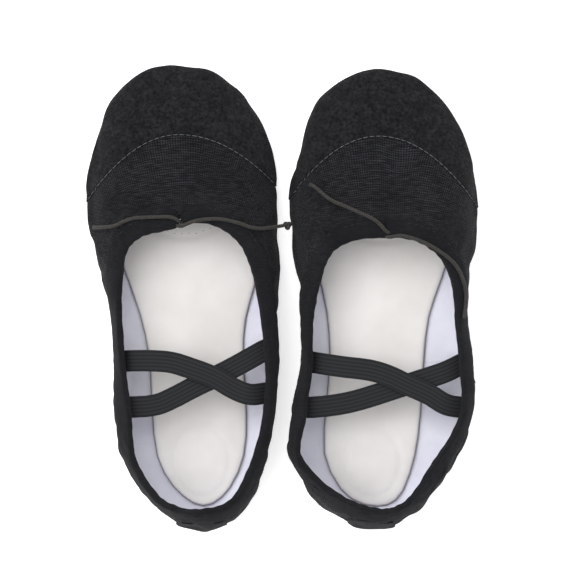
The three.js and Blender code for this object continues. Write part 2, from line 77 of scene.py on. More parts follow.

# %% [markdown]
# ## The free ends of the drawstrings
# A thin elastic cord runs in the folded tape of each slipper. Its two ends come out at the throat,
# cross, and lie where they fall. Their routes are those of the frame, point for point. A curve with a
# round bevel is the plainest way to a cord. The curve is then turned into a mesh, and the line that it
# followed gives the cord's length.

# %% Cord routes, in millimetres
CORD_DIAMETER = 1.8 * MM
CORD_ROUTES = {
    "left_drawstring_end_1": [
        (-48, 36.6, 30.2), (-49.6, 36.7, 31.3), (-51.5, 38, 32.4), (-54, 38.9, 32.9), (-60.3, 39, 32.8),
        (-66.2, 38.8, 32.4), (-71.9, 38.4, 31.5), (-77.3, 36.6, 30.3), (-80.6, 35, 29.7),
        (-84.4, 34.2, 28.3), (-88.6, 34, 25.7), (-91.5, 34, 22.6),
    ],
    "left_drawstring_end_2": [
        (-52.4, 36.1, 30.2), (-50.8, 34.9, 31.1), (-48.9, 34.6, 32.1), (-46.4, 35.6, 33),
        (-42.5, 37, 33.1), (-35.3, 38, 32.9), (-29.5, 37.9, 32.7), (-24.8, 37, 32.5), (-20.2, 35.7, 32),
        (-15.6, 34.1, 30.6), (-11.5, 33.5, 28.6), (-7.1, 33.8, 25.7), (-2.8, 34.5, 22.3),
        (0.2, 35, 20.5),
    ],
    "right_drawstring_end_1": [
        (52.4, 31.1, 30.2), (50.8, 31.5, 31.3), (49, 32.9, 32.4), (47, 35.2, 33), (44.2, 37.6, 32.8),
        (37.2, 41, 31.4), (30.3, 44.1, 30.5), (23.3, 47.2, 29.3), (18.7, 50.7, 27.6),
        (15.6, 53.4, 26.1), (12.9, 54.9, 24.6),
    ],
    "right_drawstring_end_2": [
        (48, 30.7, 30.2), (49.6, 29.7, 31.1), (51.5, 29.3, 32.1), (53.8, 29.7, 33.1), (56.2, 30, 33.2),
        (62, 28.9, 33), (67.3, 27, 32.9), (71.9, 24.7, 33), (75.8, 22.2, 33), (80.5, 18.6, 32.3),
        (84.3, 14.2, 31.2), (86.6, 9.2, 30.2), (87.9, 4.7, 29.4), (88.2, -2.5, 28.9),
        (87.2, -9.8, 30.4),
    ],
}
KNOT_CENTRE = Vector((2.2, 35.1, 19.4)) * MM
KNOT_SIZE = 0.52 * MM
TOUCHING = 0.01 * MM
KNOT_POINTS = 18
# A strand that is pulled tight gets thinner.
KNOT_STRAND = 0.42 * CORD_DIAMETER
CURVE_STEPS = 8


def body_of(name):
    """The body that a cord end rides on: left_drawstring_end_1 rides on left_end_1."""
    return name.replace("_drawstring", "")


def centreline(spline):
    """The spline's own line, as points about a fifth of a millimetre to a millimetre apart."""
    line = []
    knots = spline.bezier_points
    for a, b in zip(knots, knots[1:]):
        line += interpolate_bezier(a.co, a.handle_right, b.handle_left, b.co, CURVE_STEPS + 1)[:-1]
    return line + [knots[-1].co.copy()]


def tube_piece(name, points, radius, cyclic=False):
    """A round tube through points, drawn as a curve, whose handles round it, and kept as a mesh. It comes
    with the line that it follows."""
    data = bpy.data.curves.new(name, "CURVE")
    data.dimensions = "3D"
    data.resolution_u = CURVE_STEPS
    data.bevel_depth = radius
    data.bevel_resolution = 5
    data.use_fill_caps = not cyclic
    spline = data.splines.new("BEZIER")
    spline.bezier_points.add(len(points) - 1)
    for knot_point, place in zip(spline.bezier_points, points):
        knot_point.co = place
        knot_point.handle_left_type = knot_point.handle_right_type = "AUTO"
    spline.use_cyclic_u = cyclic
    drawn = bpy.data.objects.new(name, data)
    bpy.context.scene.collection.objects.link(drawn)
    graph = bpy.context.evaluated_depsgraph_get()
    tube = bmesh.new()
    tube.from_mesh(bpy.data.meshes.new_from_object(drawn.evaluated_get(graph)))
    bmesh.ops.remove_doubles(tube, verts=tube.verts, dist=TOUCHING)
    bmesh.ops.recalc_face_normals(tube, faces=tube.faces)
    line = centreline(spline)
    bpy.data.objects.remove(drawn)
    mesh = bpy.data.meshes.new(name)
    tube.to_mesh(mesh)
    tube.free()
    mesh.shade_smooth()
    piece = bpy.data.objects.new(name, mesh)
    bpy.context.scene.collection.objects.link(piece)
    return piece, line


def trefoil(turn):
    """The line of an overhand knot, which is a trefoil, about a unit across its strands."""
    angle = 2 * math.pi * turn
    return Vector((
        math.sin(angle) + 2 * math.sin(2 * angle),
        math.cos(angle) - 2 * math.cos(2 * angle),
        -1.2 * math.sin(3 * angle),
    ))


# %% Lay the cord ends and tie the knot
knot_points = [KNOT_CENTRE + KNOT_SIZE * trefoil(step / KNOT_POINTS) for step in range(KNOT_POINTS)]
knot, _ = tube_piece("left_cord_knot", knot_points, KNOT_STRAND, cyclic=True)
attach(knot, "left_end_2")
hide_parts("left_drawstring_knot")

cord_pieces = [knot]
for name, route in CORD_ROUTES.items():
    points = [Vector(p) * MM for p in route]
    cord, line = tube_piece(name.replace("drawstring", "cord"), points, CORD_DIAMETER / 2)
    length = sum((b - a).length for a, b in zip(line, line[1:]))
    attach(cord, body_of(name))
    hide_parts(name)
    [tuple(place) for place in line]
    cord_pieces.append(cord)
    print(name, "is", round(length / MM), "mm long")

# %% [markdown]
# ## From a CAD shell to a sheet of cloth
# A CAD part is a closed shell of loose triangles. Cloth work needs a single sheet of quads, so a copy is
# merged, its triangles are joined in pairs, and only the side that shows is kept: the faces that can be
# reached from one broad seed face without crossing a sharp edge. Thickness comes back later with Solidify.

# %% Sheets from shells
SEAM_GAP = 0.45 * MM
RIM_ANGLE = math.radians(68)
TOE_CENTRE_Y = 62 * MM
HEEL_CENTRE_Y = -74 * MM
INSIDE_HEIGHT = 12 * MM


def merged_copy(node):
    """A CAD node's mesh as a closed shell, with most of its triangles joined in pairs."""
    mesh = bmesh.new()
    mesh.from_mesh(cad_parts[node].data)
    bmesh.ops.remove_doubles(mesh, verts=mesh.verts, dist=TOUCHING)
    bmesh.ops.join_triangles(
        mesh, faces=mesh.faces, angle_face_threshold=math.radians(40),
        angle_shape_threshold=math.radians(70),
    )
    return mesh


def middle_of(node):
    low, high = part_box(node)
    return (low + high) / 2


def tree_of(places):
    """The places as a tree that finds the nearest of them."""
    tree = KDTree(len(places))
    for index, place in enumerate(places):
        tree.insert(place, index)
    tree.balance()
    return tree


def keep_skin(mesh, facing, above, centre_x):
    """Keeps the side of a shell that faces away from a line along the shoe's hollow (facing 1) or
    towards it (facing -1). The search starts at a broad face, so that it never takes the thin rim."""
    def share_facing_out(face):
        middle = face.calc_center_median()
        hollow = Vector((centre_x, min(max(middle.y, HEEL_CENTRE_Y), TOE_CENTRE_Y), INSIDE_HEIGHT))
        return face.calc_area() * face.normal.dot((middle - hollow).normalized())

    mesh.normal_update()
    high = [face for face in mesh.faces if face.calc_center_median().z > above]
    seed = max(high, key=lambda face: share_facing_out(face) * facing)
    kept, edge_of_search = {seed}, [seed]
    while edge_of_search:
        for edge in edge_of_search.pop().edges:
            if len(edge.link_faces) == 2 and edge.calc_face_angle() < RIM_ANGLE:
                fresh = [face for face in edge.link_faces if face not in kept]
                kept.update(fresh)
                edge_of_search.extend(fresh)
    rest = [face for face in mesh.faces if face not in kept]
    bmesh.ops.delete(mesh, geom=rest, context="FACES")


def sheet_of(nodes, facing, above):
    """One sheet from the skins of several nodes, sewn together where they meet. A face's material
    index says which node it came from."""
    whole = bmesh.new()
    for index, node in enumerate(nodes):
        part = merged_copy(node)
        keep_skin(part, facing, above, middle_of(f"{node.split('_')[0]}_vamp").x)
        for face in part.faces:
            face.material_index = index
        data = bpy.data.meshes.new("part")
        part.to_mesh(data)
        part.free()
        whole.from_mesh(data)
        bpy.data.meshes.remove(data)
    rim = [vert for vert in whole.verts if vert.is_boundary]
    bmesh.ops.remove_doubles(whole, verts=rim, dist=SEAM_GAP)
    for edge in whole.edges:
        edge.smooth = True
        edge.seam = len({face.material_index for face in edge.link_faces}) > 1
    return whole


# %% Objects, modifiers and points
def new_object(name, mesh):
    """A smooth object in the scene, from a bmesh that is used up."""
    data = bpy.data.meshes.new(name)
    mesh.to_mesh(data)
    mesh.free()
    data.shade_smooth()
    piece = bpy.data.objects.new(name, data)
    bpy.context.scene.collection.objects.link(piece)
    return piece


def apply_modifiers(piece):
    """Gives a piece the mesh that its modifiers make of it."""
    graph = bpy.context.evaluated_depsgraph_get()
    finished = bpy.data.meshes.new_from_object(piece.evaluated_get(graph))
    piece.modifiers.clear()
    piece.data = finished


def subdivide(piece, levels):
    smooth = piece.modifiers.new("subdivide", "SUBSURF")
    smooth.levels = smooth.render_levels = levels
    apply_modifiers(piece)


def points_of(data):
    flat = np.empty(3 * len(data.vertices), np.float32)
    data.vertices.foreach_get("co", flat)
    return flat.reshape(-1, 3).astype(float)


def set_points(data, points):
    data.vertices.foreach_set("co", np.array(points, np.float32).ravel())
    data.update()


def round_through(piece, levels, passes=3):
    """Subdivides a coarse sheet so that the smooth one still passes through the points it had. Plain
    subdivision shrinks a coarse shape, so its points are first moved out by what they would lose."""
    wanted = points_of(piece.data)
    control = wanted.copy()
    smooth = piece.modifiers.new("subdivide", "SUBSURF")
    smooth.levels = smooth.render_levels = levels
    for _ in range(passes):
        graph = bpy.context.evaluated_depsgraph_get()
        reached = points_of(piece.evaluated_get(graph).data)[: len(wanted)]
        control += wanted - reached
        set_points(piece.data, control)
        piece.update_tag()
        bpy.context.view_layer.update()
    apply_modifiers(piece)


def thicken(piece, thickness, offset=-1):
    wall = piece.modifiers.new("thickness", "SOLIDIFY")
    wall.thickness = thickness
    wall.offset = offset
    wall.use_even_offset = False


# %% The flat map of a cloth, and moving its points
def unwrap(piece):
    """Lays the cloth out flat, and scales the map so that one unit is one metre of cloth."""
    bpy.context.view_layer.objects.active = piece
    piece.select_set(True)
    bpy.ops.object.mode_set(mode="EDIT")
    bpy.ops.mesh.select_all(action="SELECT")
    bpy.ops.uv.unwrap(method="ANGLE_BASED", margin=0.01)
    bpy.ops.object.mode_set(mode="OBJECT")
    piece.select_set(False)
    mesh = bmesh.new()
    mesh.from_mesh(piece.data)
    layer = mesh.loops.layers.uv.active
    flat_area = 0.0
    for face in mesh.faces:
        corners = [loop[layer].uv for loop in face.loops]
        flat_area += abs(sum(a.cross(b) for a, b in zip(corners, corners[1:] + corners[:1]))) / 2
    scale = math.sqrt(sum(face.calc_area() for face in mesh.faces) / flat_area)
    for face in mesh.faces:
        for loop in face.loops:
            loop[layer].uv *= scale
    mesh.to_mesh(piece.data)
    mesh.free()


def move_points(piece, rule):
    """Moves each point of a piece to what the rule gives for its place and its normal."""
    data = piece.data
    places = [vert.co.copy() for vert in data.vertices]
    normals = [normal.vector.copy() for normal in data.vertex_normals]
    set_points(data, [rule(place, normal) for place, normal in zip(places, normals)])


# %% [markdown]
# ## The upper, as one sheet
# Vamp and quarters are sewn into one bag before they go on the sole, so the cloth pulls and creases as
# one. They are treated as one sheet first: smoothed, pleated where the toe and heel are gathered into
# the sole, and then left to settle with Blender's cloth, held at the sole and along the topline. The
# cloth is a little larger than the shape it hangs on, which is what makes real canvas buckle.

# %% The upper sheet
CANVAS_PARTS = ("vamp", "quarter_right", "quarter_left")
CANVAS_THICKNESS = 0.9 * MM
UPPER_ABOVE = 16 * MM
PLEAT_SPACING = 15 * MM
PLEAT_DEPTH = 0.6 * MM
# The pleats grow over this length beyond the middle of the toe or heel, and fade between these heights.
PLEAT_GROWTH = 22 * MM
PLEAT_FADE = (5 * MM, 15 * MM)


def smoothstep(low, high, value):
    share = min(max((value - low) / (high - low), 0), 1)
    return share * share * (3 - 2 * share)


def creases(place, size, seed=0.0):
    """Soft noise from -1 to 1, whose hills are about size across. Each use has a seed of its own, so that
    no two of them line up."""
    return noise.noise(place / size + Vector((seed, 2 * seed, -seed)))


def pleats(side):
    """The folds that gather toe and heel into the sole: deepest at the seam, gone at the widest line."""
    centre_x = middle_of(f"{side}_vamp").x

    def rule(place, normal):
        ahead = place.y > 0
        centre_y = TOE_CENTRE_Y if ahead else HEEL_CENTRE_Y
        reach = smoothstep(0, PLEAT_GROWTH, (place.y - centre_y) * (1 if ahead else -1))
        across, along = place.x - centre_x, place.y - centre_y
        radius = math.hypot(across, along)
        angle = math.atan2(across, abs(along)) + 0.2 * creases(place, 25 * MM, seed=3)
        wave = abs(math.cos(math.pi * angle * radius / PLEAT_SPACING)) ** 0.7 - 0.6
        height = 1 - smoothstep(*PLEAT_FADE, place.z)
        return place + normal * (PLEAT_DEPTH * wave * reach * height)

    return rule


def upper_sheet(side):
    nodes = [f"{side}_{part}" for part in CANVAS_PARTS]
    sheet = new_object(f"{side}_upper", sheet_of(nodes, facing=1, above=UPPER_ABOVE))
    unwrap(sheet)
    round_through(sheet, 2)
    return sheet


uppers = {side: upper_sheet(side) for side in SIDES}
print("points in the left upper:", len(uppers["left"].data.vertices))

# %% [markdown]
# Only the free part of the sheet settles. A few soft pushes then give it the form that it took in wear,
# and the moves are kept, because the layers above and below have to make them too.

# %% Let the canvas settle
CLOTH_FRAMES = 14
CLOTH_GRAVITY = 0.35
# Canvas is firm along its threads and bends easily. This one is 3.5% too large for its shape.
CLOTH_SETTINGS = {
    "quality": 6, "mass": 0.25, "tension_stiffness": 18, "compression_stiffness": 18, "shear_stiffness": 8,
    "bending_stiffness": 3.5, "shrink_min": -0.035,
}
FIRST_CREASE = 0.35 * MM
MOST_MOVE = 2.2 * MM
# Held fast up to the first distance from the table or from the topline's cord, and free from the second.
HELD_AT_SOLE = (2.4 * MM, 4.5 * MM)
HELD_AT_TOP = (4.5 * MM, 11 * MM)


def hold_group(piece, side):
    """The points that the sole seam and the binding hold."""
    group = piece.vertex_groups.new(name="held")
    topline = tree_of([vert.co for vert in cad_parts[f"{side}_drawstring"].data.vertices])
    for vert in piece.data.vertices:
        free_of_sole = smoothstep(*HELD_AT_SOLE, vert.co.z)
        free_of_top = smoothstep(*HELD_AT_TOP, topline.find(vert.co)[2])
        group.add([vert.index], max(1 - free_of_sole, 1 - free_of_top), "REPLACE")


# Where worn cloth has taken a flatter or fuller form than its pattern: a place, the way it is pushed,
# and how far round about the push is felt, all in mm.
PUSHES = {
    "left": [
        ((-65.7, 109.3), (-0.6, 1.5), 9), ((-36, 109), (0.3, 1.5), 9), ((-0.8, 47.4), (-1.1, 0), 20),
        ((0.2, -28), (-2.4, 0), 17), ((-95.5, 45), (1.1, 0), 12), ((-92.3, 66.7), (0.4, 0), 14),
    ],
    "right": [
        ((46.9, 111.3), (0, -0.6), 8), ((25.1, 105.5), (0.5, -0.3), 10), ((63.3, 106.9), (1.2, 1.2), 9),
        ((81.7, 90), (-0.6, -0.2), 17), ((95.3, 45.9), (-1.2, 0), 12), ((1.9, 42.5), (1.2, 0), 18),
        ((16.9, -97.8), (-1.4, -1.0), 8), ((43, -112.8), (0, 1.4), 9),
    ],
}


def pushed(place, side):
    """How far all the pushes together move a place."""
    total = Vector()
    for spot, way, reach in PUSHES[side]:
        distance = (place.xy - Vector(spot) * MM).length / (reach * MM)
        total += Vector((*way, 0)) * MM * math.exp(-distance * distance)
    return total


def first_crease(place, normal):
    return place + normal * (FIRST_CREASE * creases(place, 14 * MM, seed=7))


def settle_cloth(piece, side):
    """Lets the cloth settle, and returns where its points were and how far each has moved."""
    before = [vert.co.copy() for vert in piece.data.vertices]
    move_points(piece, first_crease)
    hold_group(piece, side)
    cloth = piece.modifiers.new("cloth", "CLOTH")
    for setting, value in CLOTH_SETTINGS.items():
        setattr(cloth.settings, setting, value)
    cloth.settings.vertex_group_mass = "held"
    cloth.settings.effector_weights.gravity = CLOTH_GRAVITY
    cloth.point_cache.frame_end = CLOTH_FRAMES
    scene = bpy.context.scene
    for step in range(1, CLOTH_FRAMES + 1):
        scene.frame_set(step)
    apply_modifiers(piece)
    scene.frame_set(1)
    moves = []
    for vert, start in zip(piece.data.vertices, before):
        move = vert.co - start
        if move.length > MOST_MOVE:
            move *= MOST_MOVE / move.length
        move += pushed(start, side)
        vert.co = start + move
        moves.append(move)
    return before, moves


def nearest_move(before, moves):
    """A rule that carries a layer along with the cloth it lies on."""
    tree = tree_of(before)

    def rule(place):
        found = tree.find_n(place, 4)
        weights = [1 / (distance + 0.2 * MM) for _, _, distance in found]
        total = sum((moves[index] * weight for (_, index, _), weight in zip(found, weights)), Vector())
        return total / sum(weights)

    return rule


settled = {}
for side, upper in uppers.items():
    before, moves = settle_cloth(upper, side)
    settled[side] = nearest_move(before, moves)
    move_points(upper, pleats(side))
    longest = max(move.length for move in moves)
    print(side, "canvas moved at most", round(longest / MM, 2), "mm")

# %% [markdown]
# ## Vamp and quarters
# Now the sheet is cut along its seams into the pieces that a maker cuts, and each gets its thickness.

# %% Cut the upper into its pieces
def cut_out(sheet, index, name):
    """A copy of the faces of one part of a sheet."""
    mesh = bmesh.new()
    mesh.from_mesh(sheet.data)
    others = [face for face in mesh.faces if face.material_index != index]
    bmesh.ops.delete(mesh, geom=others, context="FACES")
    for face in mesh.faces:
        face.material_index = 0
    return new_object(name, mesh)


pieces, fine_vamps = {}, {}


def finish_piece(piece, node):
    """Puts a piece on its slipper's body, in place of a node of the frame."""
    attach(piece, f"{node.split('_')[0]}_slipper")
    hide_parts(node)
    pieces[node] = piece


for side, upper in uppers.items():
    for index, part in enumerate(CANVAS_PARTS):
        name = f"{side}_{part}"
        piece = cut_out(upper, index, f"{name}_canvas")
        subdivide(piece, 1)
        if part == "vamp":
            fine_vamps[side] = cut_out(piece, 0, f"{side}_fine_vamp")
        thicken(piece, CANVAS_THICKNESS)
        finish_piece(piece, name)
    bpy.data.objects.remove(upper)
print("canvas pieces:", len(pieces))

# %% [markdown]
# ## Lining and back stay
# These layers lie on the canvas or inside it. Each is a sheet of its own that is carried along by the
# move of the canvas nearest to it, so the layers stay apart by what they were apart before. The lining
# is thin and loose, so it gets creases of its own.

# %% Layers that follow the canvas
LINING_THICKNESS = 0.5 * MM
STAY_THICKNESS = 0.8 * MM
STAY_ABOVE = 24 * MM


def follow(side, push, crease, crease_size):
    """Moves a layer with the canvas, along its own normal by push, and creases it."""
    move = settled[side]

    def rule(place, normal):
        extra = crease * creases(place, crease_size, seed=11)
        extra += 0.5 * crease * creases(place, crease_size / 2.3, seed=5)
        return place + move(place) + normal * (push + extra)

    return rule


def layer_pieces(side, parts, facing, above, push, crease, crease_size, thickness):
    """Makes one sheet of some nodes, carries it along with the canvas, and cuts it into its pieces."""
    nodes = [f"{side}_{part}" for part in parts]
    sheet = new_object(f"{side}_layer", sheet_of(nodes, facing, above))
    unwrap(sheet)
    round_through(sheet, 2)
    move_points(sheet, follow(side, push, crease, crease_size))
    for index, node in enumerate(nodes):
        piece = cut_out(sheet, index, f"{node}_cloth")
        subdivide(piece, 1)
        thicken(piece, thickness)
        finish_piece(piece, node)
    bpy.data.objects.remove(sheet)


for side in SIDES:
    layer_pieces(
        side, ("vamp_lining", "heel_lining"), facing=-1, above=UPPER_ABOVE, push=0, crease=0.35 * MM,
        crease_size=16 * MM, thickness=LINING_THICKNESS,
    )
    layer_pieces(
        side, ("back_stay",), facing=1, above=STAY_ABOVE, push=-0.1 * MM, crease=0.25 * MM,
        crease_size=7 * MM, thickness=STAY_THICKNESS,
    )
print("pieces with lining and back stays:", len(pieces))

# %% [markdown]
# ## Toe cap
# The cap is a second layer that wears out first. It is cut from the same shape as the front of the vamp,
# so here its cloth is the part of the vamp in front of an arched edge, laid on top of it.

# %% Cut the toe cap from the vamp
CAP_THICKNESS = 0.42 * MM
CAP_GAP = 0.05 * MM
CAP_PEAK = {"left": Vector((-50.1, 78.4)) * MM, "right": Vector((46.2, 77.7)) * MM}
# How fast the edge falls away from its peak, in mm per square mm, to the left and to the right.
CAP_FALL = {"left": (0.0158, 0.0112), "right": (0.0162, 0.0146)}
CAP_LOWEST = 2.8 * MM
EDGE_SNAP = 1.5 * MM
CAP_UNEVEN = 0.08 * MM


def cap_edge_y(side, x):
    """How far forward the arched edge of the cap lies at x."""
    across = (x - CAP_PEAK[side].x) / MM
    fall_left, fall_right = CAP_FALL[side]
    return CAP_PEAK[side].y - (fall_right if across > 0 else fall_left) * across * across * MM


def surface_of(piece):
    graph = bpy.context.evaluated_depsgraph_get()
    return BVHTree.FromObject(piece, graph)


def toe_cap(side):
    """The front of the vamp's cloth, cut along the arched edge and lifted off the vamp."""
    vamp = fine_vamps[side]
    surface = surface_of(vamp)
    mesh = bmesh.new()
    mesh.from_mesh(vamp.data)
    mesh.normal_update()

    def outside_cap(face):
        middle = face.calc_center_median()
        return middle.y < cap_edge_y(side, middle.x) or (middle.z < CAP_LOWEST and face.normal.z < 0)

    bmesh.ops.delete(mesh, geom=[face for face in mesh.faces if outside_cap(face)], context="FACES")
    for vert in mesh.verts:
        edge_y = cap_edge_y(side, vert.co.x)
        if vert.is_boundary and vert.co.z > CAP_LOWEST and abs(vert.co.y - edge_y) < EDGE_SNAP:
            vert.co = surface.find_nearest(Vector((vert.co.x, edge_y, vert.co.z)))[0]
    mesh.normal_update()
    for vert in mesh.verts:
        vert.co += vert.normal * (CAP_GAP + CAP_UNEVEN * creases(vert.co, 8 * MM, seed=61))
    return new_object(f"{side}_toe_cap_cloth", mesh)


for side in SIDES:
    name = f"{side}_toe_cap"
    cap = toe_cap(side)
    thicken(cap, CAP_THICKNESS, offset=1)
    finish_piece(cap, name)
    bpy.data.objects.remove(fine_vamps[side])
    print(name, "points:", len(cap.data.vertices))

# %% [markdown]
# ## Binding
# The binding is a tape folded over the edge of the cloth. The cord in it is drawn up, so the tape is
# gathered into small ripples across its length. Its two ends meet at the throat, where the cord comes
# out. The ripples follow the distance along the topline, so that distance is measured first.

# %% The gathered binding
BINDING_THICKNESS = 0.6 * MM
RIPPLE_SPACING = 5.2 * MM
RIPPLE_HEIGHT = 0.42 * MM
THROAT_FRONT = 20 * MM
THROAT_HALF_GAP = 3.5 * MM
THROAT_CLOSED = 0.05 * MM
THROAT_EASE = 9 * MM
THROAT_X = {"left": -49.5 * MM, "right": 49.7 * MM}
BINDING_ABOVE = 28 * MM
# The gathers get tighter towards the back of the heel, between these two places.
HEEL_GATHERS = (-40 * MM, -90 * MM)
# The line is taken from the cord's skin, where it zigzags, which makes it longer than the cord.
ZIGZAG = 0.93
LINE_STEP = 8


def topline_distance(side):
    """A rule that gives how far along the topline a place is, from the throat round."""
    centre = middle_of(f"{side}_binding")

    def angle_of(place):
        return math.atan2(place.x - centre.x, -(place.y - centre.y))

    skin = [vert.co.copy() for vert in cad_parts[f"{side}_drawstring"].data.vertices]
    line = sorted(skin, key=angle_of)[::LINE_STEP]
    angles = [angle_of(place) for place in line]
    distances = [0.0]
    for a, b in zip(line, line[1:]):
        distances.append(distances[-1] + (b - a).length * ZIGZAG)
    return lambda place: float(np.interp(angle_of(place), angles, distances))


def close_throat(place, side):
    """Draws the ends of the binding together in front of the throat."""
    across = place.x - THROAT_X[side]
    if place.y < THROAT_FRONT or abs(across) > THROAT_HALF_GAP + THROAT_EASE:
        return Vector()
    share = 1 - (abs(across) - THROAT_HALF_GAP) / THROAT_EASE
    return Vector((-math.copysign((THROAT_HALF_GAP - THROAT_CLOSED) * min(share, 1), across), 0, 0))


def gathers(side):
    """Ripples across the tape, uneven in size and spacing, that close the throat as well."""
    distance = topline_distance(side)

    def rule(place, normal):
        along = distance(place)
        drift = 0.35 * creases(place, 20 * MM, seed=21)
        wave = math.cos(2 * math.pi * (along / RIPPLE_SPACING + drift))
        size = 0.55 + 0.45 * creases(place, 17 * MM, seed=31) + 0.5 * smoothstep(*HEEL_GATHERS, place.y)
        bump = RIPPLE_HEIGHT * (0.7 * wave * size + 0.9 * creases(place, 7 * MM, seed=41))
        return place + close_throat(place, side) + normal * bump

    return rule


for side in SIDES:
    name = f"{side}_binding"
    binding = new_object(f"{name}_tape", sheet_of([name], facing=1, above=BINDING_ABOVE))
    unwrap(binding)
    round_through(binding, 2)
    move_points(binding, gathers(side))
    subdivide(binding, 1)
    thicken(binding, BINDING_THICKNESS)
    finish_piece(binding, name)
print("binding points:", len(pieces["left_binding"].data.vertices))

# %% [markdown]
# ## Crossed elastics
# Flat elastic is woven with rubber threads that make ribs along its length. A ribbed outline is
# extruded from section to section along the band's own line, which is read from its CAD solid.

# %% Read the line of a band
BAND_WIDTH = 10.4 * MM
BAND_THICKNESS = 1.1 * MM
BAND_RIBS = 6
BAND_STEPS = 96
RIB_HEIGHT = 0.1 * MM
RIB_STEPS = 6
SAME_SECTION = 1.4 * MM
TAB_BEND = 2.5 * MM
TAB_STEPS = 5


def band_sections(node):
    """Middle points and crosswise directions of a band's CAD solid, in order along it."""
    mesh = merged_copy(node)
    spans = [e for e in mesh.edges if abs(e.calc_length() - BAND_WIDTH) < 0.02 * BAND_WIDTH]
    loose = [((e.verts[0].co + e.verts[1].co) / 2, e.verts[1].co - e.verts[0].co) for e in spans]
    mesh.free()
    sections = []
    while loose:
        middle, across = loose.pop()
        near = min(loose, key=lambda other: (other[0] - middle).length, default=None)
        if near and (near[0] - middle).length < SAME_SECTION:
            loose.remove(near)
            middle = (middle + near[0]) / 2
        sections.append((middle, across))
    lowest_x = min(middle.x for middle, _ in sections)
    highest_x = max(middle.x for middle, _ in sections)
    first_tab = [s for s in sections if s[0].x < lowest_x + TAB_BEND]
    last_tab = [s for s in sections if s[0].x > highest_x - TAB_BEND]
    span = [s for s in sections if s not in first_tab and s not in last_tab]
    span.sort(key=lambda s: s[0].x)
    span = [(middle, across if across.y < 0 else -across) for middle, across in span]
    return straight_tab(first_tab) + span + straight_tab(last_tab)[::-1]


def straight_tab(sections):
    """The end of a band, which hangs straight down inside the collar, as a line from bottom to top."""
    middle = sum((place for place, _ in sections), Vector()) / len(sections)
    across = sum((way if way.y < 0 else -way for _, way in sections), Vector()) / len(sections)
    bottom = min(place.z for place, _ in sections)
    top = max(place.z for place, _ in sections)
    return [(Vector((middle.x, middle.y, z)), across) for z in np.linspace(bottom, top, TAB_STEPS)]


def rib_outline():
    """Half-widths and heights round a ribbed band, from one edge over the top and back underneath."""
    steps = BAND_RIBS * RIB_STEPS
    shares = [2 * step / steps - 1 for step in range(steps + 1)]
    half = BAND_WIDTH / 2

    def height(share):
        rib = abs(math.sin(math.pi * BAND_RIBS * (share + 1) / 2)) ** 0.6
        edge = math.sqrt(max(0.0, 1 - abs(share) ** 14))
        return (BAND_THICKNESS / 2 - RIB_HEIGHT + RIB_HEIGHT * rib) * (0.35 + 0.65 * edge)

    top = [(half * share, height(share)) for share in shares]
    return top + [(across, -up) for across, up in reversed(top)]


def smooth_line(line, steps):
    """The same line with more points, rounded through the ones it has."""
    places = np.array([middle for middle, _ in line])
    acrosses = np.array([across.normalized() for _, across in line])
    lengths = np.r_[0, np.cumsum(np.linalg.norm(np.diff(places, axis=0), axis=1))]
    wanted = np.linspace(0, lengths[-1], steps)
    places, acrosses = (
        np.stack([np.interp(wanted, lengths, values[:, k]) for k in range(3)], 1)
        for values in (places, acrosses)
    )
    for _ in range(3):
        places[1:-1] = (places[:-2] + 2 * places[1:-1] + places[2:]) / 4
        acrosses[1:-1] = (acrosses[:-2] + 2 * acrosses[1:-1] + acrosses[2:]) / 4
    return [Vector(p) for p in places], [Vector(a).normalized() for a in acrosses], lengths[-1]


# %% Extrude the bands
def band(node):
    """A ribbed band along its node's line, whose map gives places across and along it. It comes with its
    length."""
    places, acrosses, length = smooth_line(band_sections(node), BAND_STEPS)
    outline = rib_outline()
    mesh = bmesh.new()
    layer = mesh.loops.layers.uv.new("UVMap")
    rings = []
    for step, (place, across) in enumerate(zip(places, acrosses)):
        tangent = (places[min(step + 1, BAND_STEPS - 1)] - places[max(step - 1, 0)]).normalized()
        up = tangent.cross(across).normalized()
        if up.z < 0:
            up = -up
        spots = [place + across * sideways + up * rise for sideways, rise in outline]
        if not rings:
            ring = [mesh.verts.new(spot) for spot in spots]
            for a, b in zip(ring, ring[1:] + ring[:1]):
                mesh.edges.new((a, b))
            loop_edges = list(mesh.edges)
        else:
            grown = bmesh.ops.extrude_edge_only(mesh, edges=loop_edges)["geom"]
            loop_edges = [item for item in grown if isinstance(item, bmesh.types.BMEdge) and item.is_boundary]
            fresh = {vert for edge in loop_edges for vert in edge.verts}
            neighbours = [[edge.other_vert(vert) for edge in vert.link_edges] for vert in rings[-1]]
            ring = [next(vert for vert in near if vert in fresh) for near in neighbours]
            for vert, spot in zip(ring, spots):
                vert.co = spot
        rings.append(ring)
    place_of = {
        vert: (sideways, step * length / (BAND_STEPS - 1))
        for step, ring in enumerate(rings) for vert, (sideways, _) in zip(ring, outline)
    }
    bmesh.ops.holes_fill(mesh, edges=[e for e in mesh.edges if e.is_boundary])
    bmesh.ops.recalc_face_normals(mesh, faces=mesh.faces)
    for face in mesh.faces:
        for loop in face.loops:
            loop[layer].uv = place_of[loop.vert]
    return new_object(f"{node}_band", mesh), length


for side in SIDES:
    for part in ("elastic_under", "elastic_over"):
        name = f"{side}_{part}"
        piece, length = band(name)
        finish_piece(piece, name)
        print(name, "is", round(length / MM), "mm long")

# %% [markdown]
# ## Insole and soles
# These are cut flat from an outline. The outline of the CAD plate is rounded, and the plate is cut into
# small squares by a row of planes each way. That gives a mesh fine enough to press a seam into.

# %% Plates cut from an outline
# How deep a rounded edge is, as a share of its width.
EDGE_DROP = 0.6


